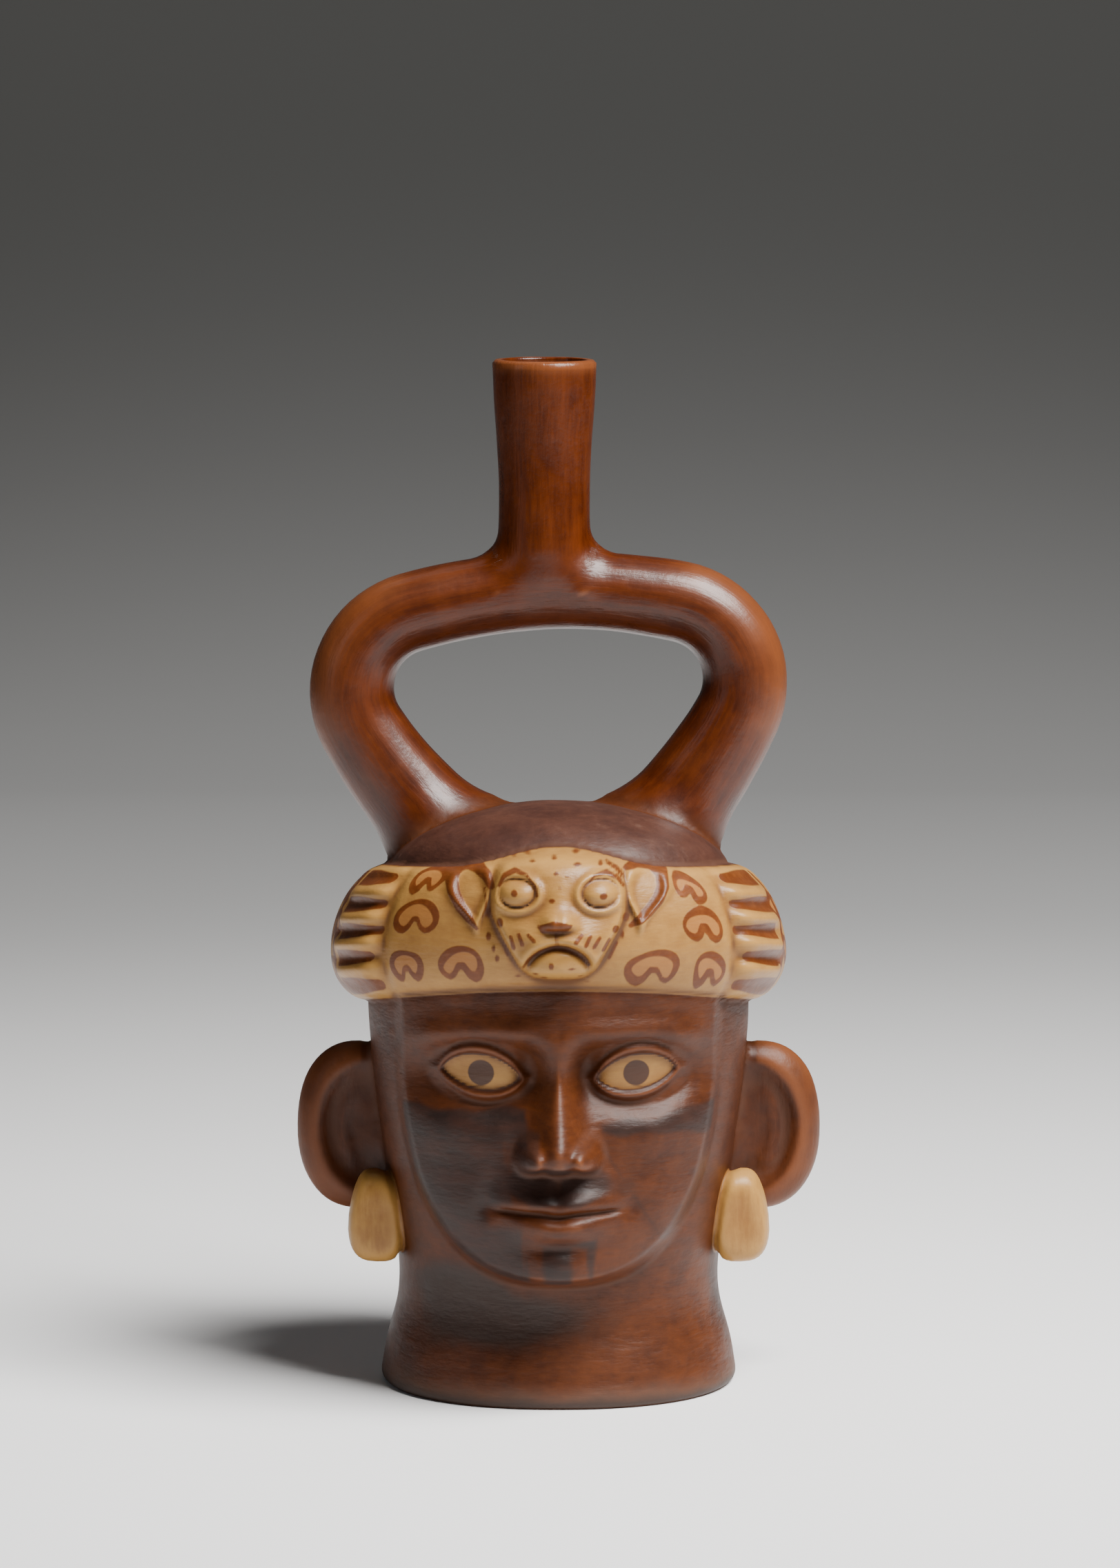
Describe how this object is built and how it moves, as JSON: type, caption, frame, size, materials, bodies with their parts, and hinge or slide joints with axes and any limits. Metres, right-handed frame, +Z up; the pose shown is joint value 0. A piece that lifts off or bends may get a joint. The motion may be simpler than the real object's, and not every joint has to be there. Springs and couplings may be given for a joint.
{
  "type": "head-shaped stirrup-spout bottle",
  "caption": "Hollow fired-clay bottle shaped as a head with a feline headband, large ears and hanging ornaments, filled through a spout on a hollow stirrup-shaped handle.",
  "frame": {"origin": "middle of the flat underside, which the bottle stands on", "axes": "+Z up through the spout, -Y the way the face looks, +X the viewer's right when facing it"},
  "size_m": [0.1536, 0.1503, 0.3],
  "materials": {
    "fired_clay": "burnished red-brown slip with cream and dark brown slip painting"
  },
  "bodies": {
    "root": {"portrait_bottle": "fired_clay"}
  },
  "joints": []
}
